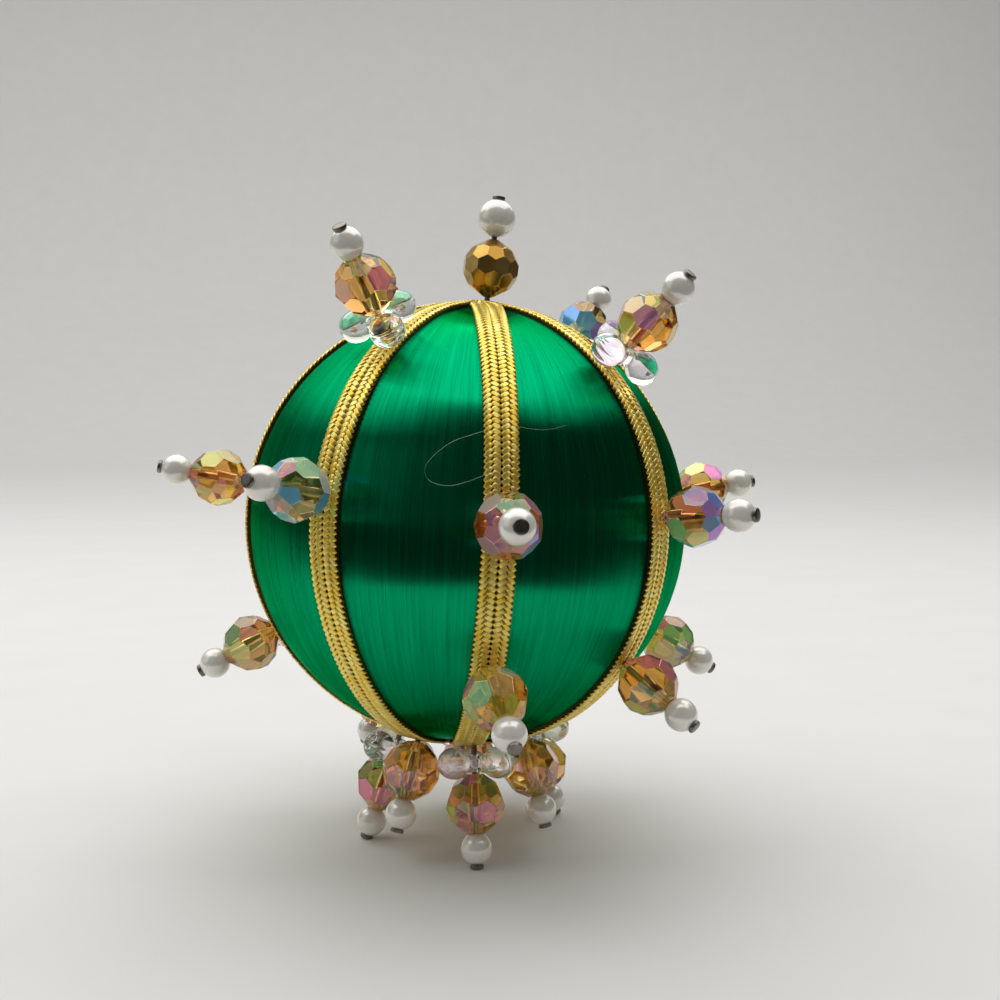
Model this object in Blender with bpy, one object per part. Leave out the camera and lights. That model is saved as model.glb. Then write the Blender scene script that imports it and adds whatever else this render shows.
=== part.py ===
"""Beaded satin ball ornament: a wound ball, eight braids and the beaded pins pushed through them.

Metres, +Z up. The ornament stands on four of its pins at z = 0 and leans a little to its right.
The front braid faces -Y. Places on the ball are given as an azimuth (0 at the front, towards +X)
and a latitude, in degrees. Braids are numbered 1 to 8 from the front, 45 degrees apart.
"""

import math
from collections import namedtuple

import bmesh
import bpy
from mathutils import Matrix, Vector

# Driving dimensions, in metres.
BALL_RADIUS = 0.03175
FIT = 0.0003
BRAID_COUNT = 8
BRAID_WIDTH = 0.0048
BRAID_THICKNESS = 0.0005
BRAID_PILE = 0.0009
BEAD_WIDTH = 0.0082
BEAD_LENGTH = 0.0080
PEARL_DIAMETER = 0.0044
HEAD_DIAMETER = 0.0019
HEAD_THICKNESS = 0.0006
SHANK_DIAMETER = 0.0008
BORE_DIAMETER = 0.0015
THREADED_SINK = 0.00015
TRI_THICKNESS = 0.0044
TRI_HUB_THICKNESS = 0.0024
TRI_LOBE_RADIUS = 0.0024
TRI_LOBE_OFFSET = 0.0036
TRI_WAIST = 0.0023
CROWN_BEAD_LENGTH = 0.0084
CROWN_PEARL_DIAMETER = 0.0056
CROWN_SHIFT = 0.0012
CAP_RADIUS = 0.0014
BASE_PIN_LENGTH = 0.0086
FLOOR_CUT = 0.00025

# Driving angles, in degrees.
LEAN = 2.8
FOOT_DIP = 71.5
BASE_PIN_TILT = 15.0
CROWN_TILT = 4.0

BRAID_STEP = 360.0 / BRAID_COUNT
SEAT = BALL_RADIUS + FIT + BRAID_THICKNESS + FIT
POLE_SEAT = BALL_RADIUS + FIT + BRAID_PILE + FIT
TRI_RISE = (TRI_THICKNESS + TRI_HUB_THICKNESS) / 2 + FIT

# How each braid wanders to the side of its meridian, above and below the middle of the ball.
Braid = namedtuple("Braid", "number above below")
BRAIDS = [
    Braid(1, -1.0, -1.4),
    Braid(2, -0.7, -0.7),
    Braid(3, 0.0, 0.0),
    Braid(4, 0.0, 0.0),
    Braid(5, 0.0, 0.0),
    Braid(6, 0.0, 0.0),
    Braid(7, -1.3, -4.4),
    Braid(8, 2.2, 5.0),
]

# Where the pins stand: the braid, how far to the side of its meridian, and the latitude.
# The turn is that of the tri-bead below, from north towards east. The lean is the pin's own,
# towards the east.
Pin = namedtuple("Pin", "braid side latitude turn lean", defaults=(0, 0))
EQUATOR_PINS = [
    Pin(1, -0.5, 4.2),
    Pin(2, 1.1, 6.0),
    Pin(3, 2.7, 10.0),
    Pin(4, 0.0, 7.0),
    Pin(5, 0.0, 7.0),
    Pin(6, 0.0, 7.0),
    Pin(7, -1.3, 8.1),
    Pin(8, 1.3, 8.4),
]
LOWER_PINS = [
    Pin(1, -1.5, -31.2, lean=11),
    Pin(2, -0.2, -31.4),
    Pin(3, 3.0, -28.6),
    Pin(4, 0.0, -31.0),
    Pin(5, 0.0, -31.0),
    Pin(6, 0.0, -31.0),
    Pin(7, -6.0, -31.6),
]
UPPER_PINS = [
    Pin(2, 1.2, 46.3, 30),
    Pin(4, -5.0, 51.0, 20),
    Pin(6, -5.0, 56.5, 20),
    Pin(8, 0.6, 51.8, 10),
]
UNDER_PINS = [
    Pin(2, 3.6, -69.8),
    Pin(4, 9.0, -58.0),
    Pin(6, -13.0, -58.0),
    Pin(8, 5.0, -70.5),
]
# The feet's latitudes follow from the lean, so that all four meet the floor.
Foot = namedtuple("Foot", "braid side turn")
FOOT_PINS = [
    Foot(1, 4.5, 55),
    Foot(3, 19.0, -33),
    Foot(5, -15.0, 20),
    Foot(7, 3.5, 38),
]

# Facet rows of a cut bead: their tilt, their start as a part of one facet, and their reach.
Facets = namedtuple("Facets", "tilt phase reach")
FACETS_AROUND = 8
GIRDLE_TILT = 20.0
GIRDLE_REACH = math.cos(math.radians(GIRDLE_TILT)) * math.cos(math.pi / FACETS_AROUND / 2)
SHOULDER_TILT = 52.0
SHOULDER_REACH = 0.955
FACET_ROWS = [
    Facets(GIRDLE_TILT, 0.0, GIRDLE_REACH),
    Facets(-GIRDLE_TILT, 0.5, GIRDLE_REACH),
    Facets(SHOULDER_TILT, 0.5, SHOULDER_REACH),
    Facets(-SHOULDER_TILT, 0.0, SHOULDER_REACH),
]

# The braid's section: places across its half width, and heights as parts of its thickness.
Section = namedtuple("Section", "across height")
BRAID_SECTION = [
    Section(-1.0, 0.0),
    Section(-1.0, 0.6),
    Section(-0.5, 1.0),
    Section(0.0, 0.6),
    Section(0.5, 1.0),
    Section(1.0, 0.6),
    Section(1.0, 0.0),
]

# The tri-bead's grid: places from its bore to its rim, and directions from the middle of a lobe.
TRI_STEPS = [0.0, 0.4, 0.8, 1.0]
LOBE_SAMPLES = [-42, -27, -10, 10, 27, 42, 60]

BALL_SEGMENTS = 44
BALL_RINGS = 22
PEARL_SEGMENTS = 10
PEARL_RINGS = 7
PIN_SIDES = 8
TINY = 1e-7

# Angles from a pole, in degrees: the hole, where the braids pile up, and where they keep to
# their meridians. A braid's wander changes between the last two, counted from the top.
POLE_HOLE_ANGLE = 2.1
PILE_STEPS = (4.0, 6.5)
PILE_ANGLE = 9.0
STRAIGHT_ANGLES = (12.0, 30.0)
EVEN_ANGLE = 15.0
EVEN_STEPS = 25
WANDER_ANGLES = (80.0, 140.0)


def clear_scene():
    for item in list(bpy.data.objects):
        bpy.data.objects.remove(item, do_unlink=True)


def material(name, colour, roughness, metallic):
    """One Principled material."""
    mat = bpy.data.materials.new(name)
    mat.use_nodes = True
    shader = mat.node_tree.nodes["Principled BSDF"]
    shader.inputs["Base Color"].default_value = (*colour, 1.0)
    shader.inputs["Roughness"].default_value = roughness
    shader.inputs["Metallic"].default_value = metallic
    mat.diffuse_color = (*colour, 1.0)
    return mat


def add(name, mesh, parent=None, matrix=None):
    """One named object, placed in its parent's frame."""
    item = bpy.data.objects.new(name, mesh)
    bpy.context.scene.collection.objects.link(item)
    item.parent = parent
    if matrix is not None:
        item.matrix_basis = matrix
    return item


def finished(bm, name):
    """A mesh from a bmesh, with its faces turned outward."""
    bmesh.ops.recalc_face_normals(bm, faces=bm.faces)
    mesh = bpy.data.meshes.new(name)
    bm.to_mesh(mesh)
    bm.free()
    return mesh


def frame_at(azimuth, latitude, radius, turn=0.0):
    """A frame on the ball: X to the east, Y to the north, Z outward."""
    a = math.radians(azimuth)
    b = math.radians(latitude)
    east = Vector((math.cos(a), math.sin(a), 0.0))
    outward = Vector((math.cos(b) * math.sin(a), -math.cos(b) * math.cos(a), math.sin(b)))
    north = outward.cross(east)
    basis = Matrix((east, north, outward)).transposed().to_4x4()
    spin = Matrix.Rotation(math.radians(-turn), 4, "Z")
    return Matrix.Translation(outward * radius) @ basis @ spin


def smoothstep(low, high, value):
    part = min(1.0, max(0.0, (value - low) / (high - low)))
    return part * part * (3.0 - 2.0 * part)


def ball_mesh():
    """The ball wound with floss, as one solid."""
    bm = bmesh.new()
    bmesh.ops.create_uvsphere(bm, u_segments=BALL_SEGMENTS, v_segments=BALL_RINGS, radius=BALL_RADIUS)
    mesh = finished(bm, "satin_ball")
    mesh.shade_smooth()
    return mesh


def polar_angles():
    """Steps of a braid from pole to pole: finer where it piles up."""
    near = [POLE_HOLE_ANGLE, *PILE_STEPS, PILE_ANGLE, STRAIGHT_ANGLES[0]]
    span = (180.0 - 2 * EVEN_ANGLE) / EVEN_STEPS
    even = [EVEN_ANGLE + span * step for step in range(EVEN_STEPS + 1)]
    return near + even + [180.0 - angle for angle in reversed(near)]


def braid_mesh(braid):
    """One braid from pole to pole, narrowed to its share of the circle where the braids meet."""
    bm = bmesh.new()
    meridian = (braid.number - 1) * BRAID_STEP
    rings = []
    for polar in polar_angles():
        to_pole = min(polar, 180.0 - polar)
        wander = braid.above + (braid.below - braid.above) * smoothstep(*WANDER_ANGLES, polar)
        wander *= smoothstep(*STRAIGHT_ANGLES, to_pole)
        share = BALL_RADIUS * math.sin(math.radians(to_pole)) * math.tan(math.radians(BRAID_STEP / 2))
        half = min(BRAID_WIDTH / 2, share - FIT / 2)
        piled = smoothstep(PILE_ANGLE, POLE_HOLE_ANGLE, to_pole)
        thickness = BRAID_THICKNESS + (BRAID_PILE - BRAID_THICKNESS) * piled
        place = frame_at(meridian + wander, 90.0 - polar, 0.0).to_3x3()
        ring = []
        for point in BRAID_SECTION:
            bend = point.across * half / BALL_RADIUS
            outward = place @ Vector((math.sin(bend), 0.0, math.cos(bend)))
            ring.append(bm.verts.new(outward * (BALL_RADIUS + FIT + point.height * thickness)))
        rings.append(ring)
    for ring, following in zip(rings, rings[1:]):
        for index in range(len(ring)):
            after = (index + 1) % len(ring)
            bm.faces.new((ring[index], ring[after], following[after], following[index]))
    bm.faces.new(rings[0])
    bm.faces.new(rings[-1])
    mesh = finished(bm, f"braid_{braid.number}")
    mesh.shade_smooth()
    mesh.set_sharp_from_angle(angle=math.radians(40))
    return mesh


def cut_bead_mesh(name, width, length, base):
    """A cut bead on the Z axis: a block ground off by rows of facets, standing on z = base."""
    bm = bmesh.new()
    bmesh.ops.create_cube(bm, size=2 * width)
    planes = [(Vector((0, 0, 1)), length / 2), (Vector((0, 0, -1)), length / 2)]
    for row in FACET_ROWS:
        tilt = math.radians(row.tilt)
        for index in range(FACETS_AROUND):
            around = 2 * math.pi * (index + row.phase) / FACETS_AROUND
            level = math.cos(tilt)
            normal = Vector((level * math.cos(around), level * math.sin(around), math.sin(tilt)))
            planes.append((normal, row.reach * width / 2))
    for normal, reach in planes:
        everything = bm.verts[:] + bm.edges[:] + bm.faces[:]
        cut = bmesh.ops.bisect_plane(
            bm, geom=everything, dist=TINY, plane_co=normal * reach, plane_no=normal, clear_outer=True
        )
        rim = [item for item in cut["geom_cut"] if isinstance(item, bmesh.types.BMEdge)]
        bmesh.ops.edgeloop_fill(bm, edges=rim)
    bmesh.ops.translate(bm, verts=bm.verts, vec=(0, 0, base + length / 2))
    return finished(bm, name)


def pearl_mesh(name, diameter, base):
    """A pearl on the Z axis, standing on z = base."""
    bm = bmesh.new()
    bmesh.ops.create_uvsphere(bm, u_segments=PEARL_SEGMENTS, v_segments=PEARL_RINGS, radius=diameter / 2)
    bmesh.ops.translate(bm, verts=bm.verts, vec=(0, 0, base + diameter / 2))
    return finished(bm, name)


def rod_mesh(name, diameter, low, high):
    """A round rod on the Z axis."""
    bm = bmesh.new()
    bmesh.ops.create_cone(
        bm,
        cap_ends=True,
        segments=PIN_SIDES,
        radius1=diameter / 2,
        radius2=diameter / 2,
        depth=high - low,
    )
    bmesh.ops.translate(bm, verts=bm.verts, vec=(0, 0, (low + high) / 2))
    return finished(bm, name)


def tri_reach(sample):
    """How far a tri-bead reaches, in a direction given from the middle of a lobe."""
    angle = math.radians(sample)
    inside = TRI_LOBE_RADIUS**2 - (TRI_LOBE_OFFSET * math.sin(angle)) ** 2
    if inside <= 0:
        return TRI_WAIST
    return max(TRI_WAIST, TRI_LOBE_OFFSET * math.cos(angle) + math.sqrt(inside))


def tri_half_height(reach, sample):
    """Half a tri-bead's thickness at a place: that of the nearest lobe, or of the hub."""
    angle = math.radians(sample)
    aside = reach * math.sin(angle)
    off = reach * math.cos(angle) - TRI_LOBE_OFFSET
    inside = 1.0 - (aside**2 + off**2) / TRI_LOBE_RADIUS**2
    lobe = TRI_THICKNESS / 2 * math.sqrt(max(0.0, inside))
    return max(lobe, TRI_HUB_THICKNESS / 2)


def tri_mesh(name):
    """A bead of three fused balls round the Z axis, its first ball towards +Y, on z = 0."""
    bm = bmesh.new()
    middle = TRI_THICKNESS / 2
    upper = []
    lower = []
    for step in TRI_STEPS:
        over = []
        under = []
        for lobe in range(3):
            for sample in LOBE_SAMPLES:
                around = math.radians(90 - 120 * lobe - sample)
                nearest = min(abs(sample), 120 - abs(sample))
                rim = tri_reach(nearest)
                reach = BORE_DIAMETER / 2 + (rim - BORE_DIAMETER / 2) * step
                half = tri_half_height(reach, nearest)
                if step == TRI_STEPS[-1]:
                    half = TRI_HUB_THICKNESS / 4
                flat = (reach * math.cos(around), reach * math.sin(around))
                over.append(bm.verts.new((*flat, middle + half)))
                under.append(bm.verts.new((*flat, middle - half)))
        upper.append(over)
        lower.append(under)
    rings = upper + lower[::-1]
    for ring, following in zip(rings, rings[1:] + rings[:1]):
        for index in range(len(ring)):
            after = (index + 1) % len(ring)
            bm.faces.new((ring[index], ring[after], following[after], following[index]))
    return finished(bm, name)


def combined(name, first, others, operation="UNION"):
    """One mesh from several by Boolean modifiers on a passing object."""
    body = add(f"{name}_body", first)
    tools = []
    for index, mesh in enumerate(others):
        tool = add(f"{name}_tool_{index}", mesh)
        tool.hide_render = True
        tool.display_type = "WIRE"
        step = body.modifiers.new("join", "BOOLEAN")
        step.operation = operation
        step.solver = "EXACT"
        step.object = tool
        tools.append(tool)
    graph = bpy.context.evaluated_depsgraph_get()
    mesh = bpy.data.meshes.new_from_object(body.evaluated_get(graph))
    mesh.name = name
    for item in [body, *tools]:
        bpy.data.objects.remove(item, do_unlink=True)
    return mesh


def threaded_pin_mesh(name, base):
    """A pin threaded tight with a pearl and a cut bead that starts at z = base, its shank below it."""
    pearl_base = base + BEAD_LENGTH - THREADED_SINK
    head_base = pearl_base + PEARL_DIAMETER - THREADED_SINK
    bead = cut_bead_mesh(f"{name}_bead", BEAD_WIDTH, BEAD_LENGTH, base)
    others = [pearl_mesh(f"{name}_pearl", PEARL_DIAMETER, pearl_base)]
    others.append(rod_mesh(f"{name}_head", HEAD_DIAMETER, head_base, head_base + HEAD_THICKNESS))
    if base > 0:
        others.append(rod_mesh(f"{name}_shank", SHANK_DIAMETER, 0.0, base + BEAD_LENGTH / 2))
    return combined(name, bead, others)


def crown_pin_mesh(name):
    """The crown's pin with its larger pearl, its shank standing on z = 0."""
    pearl_base = CROWN_BEAD_LENGTH + FIT
    head_base = pearl_base + CROWN_PEARL_DIAMETER - THREADED_SINK
    pearl = pearl_mesh(f"{name}_pearl", CROWN_PEARL_DIAMETER, pearl_base)
    others = [rod_mesh(f"{name}_head", HEAD_DIAMETER, head_base, head_base + HEAD_THICKNESS)]
    others.append(rod_mesh(f"{name}_shank", SHANK_DIAMETER, 0.0, pearl_base + CROWN_PEARL_DIAMETER / 2))
    return combined(name, pearl, others)


def base_pin_mesh(name):
    """The bare pin at the bottom pole, its shank standing on z = 0."""
    half = HEAD_THICKNESS / 2
    shank = rod_mesh(f"{name}_shank", SHANK_DIAMETER, 0.0, BASE_PIN_LENGTH)
    head = rod_mesh(f"{name}_head", HEAD_DIAMETER, BASE_PIN_LENGTH - half, BASE_PIN_LENGTH + half)
    return combined(name, shank, [head])


def floor_cutter():
    """A block below z = 0 that the feet are flattened with."""
    bm = bmesh.new()
    side = 8 * BALL_RADIUS
    bmesh.ops.create_cube(bm, size=side)
    bmesh.ops.translate(bm, verts=bm.verts, vec=(0, 0, -side / 2))
    cutter = add("floor_cutter", finished(bm, "floor_cutter"))
    cutter.hide_render = True
    cutter.display_type = "WIRE"
    return cutter


def leaning(degrees):
    """A pin's own lean towards the east, lifted so that its bead's flat end stays clear."""
    angle = math.radians(degrees)
    lift = CAP_RADIUS * math.sin(abs(angle))
    return Matrix.Translation((0, 0, lift)) @ Matrix.Rotation(angle, 4, "Y")


def meridian_of(pin):
    return (pin.braid - 1) * BRAID_STEP + pin.side


def foot_latitude(azimuth):
    """The latitude, in the leaning ball's frame, at which a pin dips by FOOT_DIP below level."""
    lean = math.radians(LEAN)
    side = -math.sin(lean) * math.sin(math.radians(azimuth))
    reach = math.hypot(math.cos(lean), side)
    drop = -math.sin(math.radians(FOOT_DIP))
    return math.degrees(math.asin(drop / reach) - math.atan2(side, math.cos(lean)))


def centre_over_floor(frame, parts):
    """Move the ornament sideways so that the middle of its box is over the origin."""
    bpy.context.view_layer.update()
    graph = bpy.context.evaluated_depsgraph_get()
    spots = []
    for part in parts:
        shape = part.evaluated_get(graph)
        spots += [shape.matrix_world @ vertex.co for vertex in shape.data.vertices]
    for axis in (0, 1):
        low = min(spot[axis] for spot in spots)
        high = max(spot[axis] for spot in spots)
        frame.location[axis] -= (low + high) / 2
    bpy.context.view_layer.update()


def build():
    clear_scene()
    satin = material("satin floss", (0.0, 0.27, 0.12), 0.35, 0.0)
    gold = material("gold braid", (0.62, 0.43, 0.12), 0.4, 1.0)
    amber = material("amber cut bead", (0.62, 0.4, 0.16), 0.08, 0.0)
    clear = material("clear tri-bead", (0.8, 0.84, 0.84), 0.05, 0.0)
    gilt = material("gilt cut bead", (0.5, 0.33, 0.1), 0.25, 1.0)
    pearl = material("pearl", (0.85, 0.82, 0.77), 0.2, 0.0)
    steel = material("pin steel", (0.25, 0.24, 0.23), 0.3, 1.0)

    head_reach = SEAT + TRI_RISE + BEAD_LENGTH + PEARL_DIAMETER + HEAD_THICKNESS - 2 * THREADED_SINK
    dip = math.radians(FOOT_DIP)
    lowest_rim = head_reach * math.sin(dip) + HEAD_DIAMETER / 2 * math.cos(dip)
    frame = add("ball_frame", None)
    lean = Matrix.Rotation(math.radians(LEAN), 4, "Y")
    frame.matrix_basis = Matrix.Translation((0, 0, lowest_rim - FLOOR_CUT)) @ lean

    parts = []

    def put(name, mesh, mat, matrix):
        if not mesh.materials:
            mesh.materials.append(mat)
        item = add(name, mesh, frame, matrix)
        parts.append(item)
        return item

    put("satin_ball", ball_mesh(), satin, Matrix.Identity(4))
    for braid in BRAIDS:
        put(f"braid_{braid.number}", braid_mesh(braid), gold, Matrix.Identity(4))

    plain = threaded_pin_mesh("threaded_pin", 0.0)
    for kind, pins in (("equator", EQUATOR_PINS), ("lower", LOWER_PINS), ("under", UNDER_PINS)):
        for pin in pins:
            place = frame_at(meridian_of(pin), pin.latitude, SEAT) @ leaning(pin.lean)
            put(f"{kind}_pin_{pin.braid}", plain, amber, place)

    raised = threaded_pin_mesh("raised_pin", TRI_RISE)
    tri = tri_mesh("tri_bead")
    for pin in UPPER_PINS:
        place = frame_at(meridian_of(pin), pin.latitude, SEAT, pin.turn)
        put(f"upper_pin_{pin.braid}", raised, amber, place)
        put(f"upper_tri_{pin.braid}", tri, clear, place)
    cutter = floor_cutter()
    for pin in FOOT_PINS:
        azimuth = meridian_of(pin)
        place = frame_at(azimuth, foot_latitude(azimuth), SEAT, pin.turn)
        foot = put(f"foot_pin_{pin.braid}", raised, amber, place)
        flat = foot.modifiers.new("flat on the floor", "BOOLEAN")
        flat.operation = "DIFFERENCE"
        flat.solver = "EXACT"
        flat.object = cutter
        put(f"foot_tri_{pin.braid}", tri, clear, place)

    crown = frame_at(0.0, 90.0, POLE_SEAT) @ Matrix.Translation((CROWN_SHIFT, 0, 0)) @ leaning(CROWN_TILT)
    gilt_bead = cut_bead_mesh("gilt_bead", BEAD_WIDTH, CROWN_BEAD_LENGTH, 0.0)
    crown_bore = rod_mesh("crown_bore", BORE_DIAMETER, -CROWN_BEAD_LENGTH, 2 * CROWN_BEAD_LENGTH)
    put("crown_bead", combined("crown_bead", gilt_bead, [crown_bore], "DIFFERENCE"), gilt, crown)
    put("crown_pin", crown_pin_mesh("crown_pin"), pearl, crown)
    tilt = Matrix.Rotation(math.radians(BASE_PIN_TILT), 4, "Y")
    foot_of_base = frame_at(0.0, -90.0, BALL_RADIUS + FIT)
    put("base_pin", base_pin_mesh("base_pin"), steel, foot_of_base @ tilt)

    centre_over_floor(frame, parts)


build()
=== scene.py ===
# %% [markdown]
# # A beaded satin ball ornament
# The real thing is a foam ball wound from pole to pole with green rayon floss. Eight lengths of
# flat gold braid cover its meridians, and pins threaded with a cut acrylic bead and a pearl are
# pushed through the braid into the foam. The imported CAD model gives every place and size, and
# this script dresses it: each piece is built in the ball's own axes and then carried into the
# model's frame, so that its object stays at the origin.

import math
import random

import bmesh
import bpy
from mathutils import Matrix, Vector


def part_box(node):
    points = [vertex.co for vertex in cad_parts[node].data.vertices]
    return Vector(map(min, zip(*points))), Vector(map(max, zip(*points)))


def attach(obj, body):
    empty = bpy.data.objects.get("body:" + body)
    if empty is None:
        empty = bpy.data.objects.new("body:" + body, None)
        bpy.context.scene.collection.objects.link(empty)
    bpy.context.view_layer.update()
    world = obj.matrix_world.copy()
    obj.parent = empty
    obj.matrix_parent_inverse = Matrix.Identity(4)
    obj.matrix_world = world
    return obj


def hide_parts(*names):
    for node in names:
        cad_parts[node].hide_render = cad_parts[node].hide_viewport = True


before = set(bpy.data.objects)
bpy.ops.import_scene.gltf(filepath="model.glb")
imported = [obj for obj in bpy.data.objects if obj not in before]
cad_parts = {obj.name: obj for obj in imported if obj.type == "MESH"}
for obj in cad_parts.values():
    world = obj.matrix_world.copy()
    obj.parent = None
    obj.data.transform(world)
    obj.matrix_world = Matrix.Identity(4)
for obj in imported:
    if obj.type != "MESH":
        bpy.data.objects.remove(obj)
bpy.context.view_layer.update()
MM = 0.001
print("nodes in the packed model:", len(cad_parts))

# %% [markdown]
# ## The ball's own axes
# The ornament leans a little on its feet. It is simplest to build everything upright round a
# ball centred on the origin, with its poles on Z, and to turn the finished meshes by one matrix.

# %% The ball's frame
BALL_RADIUS = 31.75 * MM
LEAN = math.radians(2.8)
ball_low, ball_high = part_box("satin_ball")
BALL_CENTRE = (ball_low + ball_high) / 2
TO_MODEL = Matrix.Translation(BALL_CENTRE) @ Matrix.Rotation(LEAN, 4, "Y")
print("ball centre, mm:", [round(value / MM, 2) for value in BALL_CENTRE])


def frame_on_ball(azimuth, latitude, radius, turn=0.0):
    """A frame on the ball: X to the east, Y to the north, Z outward. Degrees and metres."""
    a, b = math.radians(azimuth), math.radians(latitude)
    east = Vector((math.cos(a), math.sin(a), 0.0))
    outward = Vector((math.cos(b) * math.sin(a), -math.cos(b) * math.cos(a), math.sin(b)))
    basis = Matrix((east, outward.cross(east), outward)).transposed().to_4x4()
    spin = Matrix.Rotation(math.radians(-turn), 4, "Z")
    return Matrix.Translation(outward * radius) @ basis @ spin


# %% [markdown]
# ## Camera
# The photograph was taken from close by, a little to the left of the front braid and just above
# the middle of the ball. A near camera with a 42.6 mm lens gives the same strong perspective.

# %% Camera
CAMERA_AZIMUTH = math.radians(9.2)
CAMERA_PITCH = math.radians(3.85)
CAMERA_REACH = Vector((-4.64, -3.33, 176.1)) * MM
LENS_MM = 42.62
forward = Vector(
    (
        math.sin(CAMERA_AZIMUTH) * math.cos(CAMERA_PITCH),
        math.cos(CAMERA_AZIMUTH) * math.cos(CAMERA_PITCH),
        -math.sin(CAMERA_PITCH),
    )
)
right = Vector((math.cos(CAMERA_AZIMUTH), -math.sin(CAMERA_AZIMUTH), 0.0))
up = right.cross(forward)
camera = bpy.data.objects.new("camera", bpy.data.cameras.new("camera"))
bpy.context.scene.collection.objects.link(camera)
camera.data.lens = LENS_MM
camera.data.clip_start = 10 * MM
camera.matrix_world = Matrix((right, up, -forward)).transposed().to_4x4()
camera.location = BALL_CENTRE - (
    right * CAMERA_REACH.x + up * CAMERA_REACH.y + forward * CAMERA_REACH.z
)
bpy.context.scene.camera = camera
print("camera to ball centre, mm:", round((camera.location - BALL_CENTRE).length / MM, 1))

# %% [markdown]
# ## Small helpers
# Every material and every Geometry Nodes tree below is written with one helper, which adds a node,
# sets what its keywords name and joins its sockets. Colours are given as sRGB hex, as they are
# read from a screen, and turned to the linear values that Blender's sockets take.


# %% Helpers for colours, nodes and materials
def srgb(code):
    """Linear RGBA from an sRGB hex colour."""
    parts = [int(code[index : index + 2], 16) / 255 for index in (1, 3, 5)]
    linear = [
        part / 12.92 if part <= 0.04045 else ((part + 0.055) / 1.055) ** 2.4 for part in parts
    ]
    return (*linear, 1.0)


def add_node(tree, kind, sockets=None, **settings):
    """One node, with its settings. Each named input takes a value, or a link from an output.

    A whole node stands for its first output, and a list for several links into one input.
    """
    node = tree.nodes.new(kind)
    for name, value in settings.items():
        setattr(node, name, value)
    for name, given in (sockets or {}).items():
        for value in given if isinstance(given, list) else [given]:
            if isinstance(value, bpy.types.Node):
                value = next(output for output in value.outputs if output.enabled)
            if isinstance(value, bpy.types.NodeSocket):
                tree.links.new(value, node.inputs[name])
            else:
                node.inputs[name].default_value = value
    return node


def new_material(name):
    """An empty node material, and its tree."""
    made = bpy.data.materials.new(name)
    made.use_nodes = True
    made.node_tree.nodes.clear()
    return made, made.node_tree


def mottled_material(name, scale, detail, dark, light, sockets):
    """A material whose colour wanders between two shades, with the shader's other values."""
    made, tree = new_material(name)
    place = add_node(tree, "ShaderNodeTexCoord").outputs["Object"]
    mottle = add_node(
        tree, "ShaderNodeTexNoise", {"Vector": place, "Scale": scale, "Detail": detail}
    )
    tone = add_node(
        tree,
        "ShaderNodeMix",
        {"Factor": mottle, "A": srgb(dark), "B": srgb(light)},
        data_type="RGBA",
    )
    shader = add_node(tree, "ShaderNodeBsdfPrincipled", {"Base Color": tone, **sockets})
    add_node(tree, "ShaderNodeOutputMaterial", {"Surface": shader})
    return made


print("mid grey as linear light:", round(srgb("#808080")[0], 3))


# %% Helpers for meshes and pieces
def link(name, mesh):
    """A new object for a mesh, at the origin."""
    item = bpy.data.objects.new(name, mesh)
    bpy.context.scene.collection.objects.link(item)
    return item


def finish_piece(item, nodes):
    """Attach a piece of the ornament to the root, and hide the CAD parts that it stands for."""
    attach(item, "root")
    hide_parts(*nodes)
    return item


def triangles(mesh):
    """How many triangles a mesh has."""
    return sum(len(polygon.vertices) - 2 for polygon in mesh.polygons)


def mesh_from(bm, name, smooth=True):
    """A mesh from a bmesh, which is freed."""
    mesh = bpy.data.meshes.new(name)
    bm.to_mesh(mesh)
    bm.free()
    if smooth:
        mesh.shade_smooth()
    return mesh


def close_tube(bm, rings):
    """Faces from each ring of points to the next, and a cap on both ends."""
    for ring, following in zip(rings, rings[1:]):
        for index in range(len(ring)):
            after = (index + 1) % len(ring)
            bm.faces.new((ring[index], ring[after], following[after], following[index]))
    bm.faces.new(rings[0])
    bm.faces.new(rings[-1])
    bmesh.ops.recalc_face_normals(bm, faces=bm.faces)


# %% [markdown]
# ## Studio
# The photograph has a pale sweep of paper, a wide soft light above and a little behind the
# ornament, and an unlit room on the camera's side. The satin shows this plainly: a bright band
# where it mirrors the light, a dark one where it mirrors the room, and a mid green one where it
# mirrors the paper. So the sheet of paper ends just outside the frame, and the room beyond it is
# dark in mirrors. The world is paler where it is seen through a bead or past the sheet.

# %% Paper sweep
FLOOR_HALF = 3.0
# The sheet's near edge, just outside the photograph's frame: from a corner it runs back both ways.
FLOOR_CORNER = (-8.0 * MM, -126.0 * MM)
FLOOR_EDGE = [(1.0, 0.43), (FLOOR_HALF, 0.9)]
COVE_START = 1.3
COVE_RADIUS = 0.9
WALL_TOP = 2.2
COVE_STEPS = 16


def sweep_mesh():
    """Floor, rounded cove and wall, in one sheet."""
    line = [(COVE_START, 0.0)]
    for step in range(1, COVE_STEPS + 1):
        angle = math.pi / 2 * step / COVE_STEPS
        out, rise = COVE_RADIUS * math.sin(angle), COVE_RADIUS * (1 - math.cos(angle))
        line.append((COVE_START + out, rise))
    line.append((COVE_START + COVE_RADIUS, WALL_TOP))
    bm = bmesh.new()
    rows = [[bm.verts.new((side * FLOOR_HALF, y, z)) for side in (-1, 1)] for y, z in line]
    for row, following in zip(rows, rows[1:]):
        bm.faces.new((row[0], row[1], following[1], following[0]))
    right_edge = [bm.verts.new((x, y, 0)) for x, y in FLOOR_EDGE]
    left_edge = [bm.verts.new((-x, y, 0)) for x, y in FLOOR_EDGE]
    corner = bm.verts.new((*FLOOR_CORNER, 0))
    bm.faces.new((corner, *right_edge, rows[0][1], rows[0][0], *left_edge[::-1]))
    return mesh_from(bm, "paper_sweep")


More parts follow.
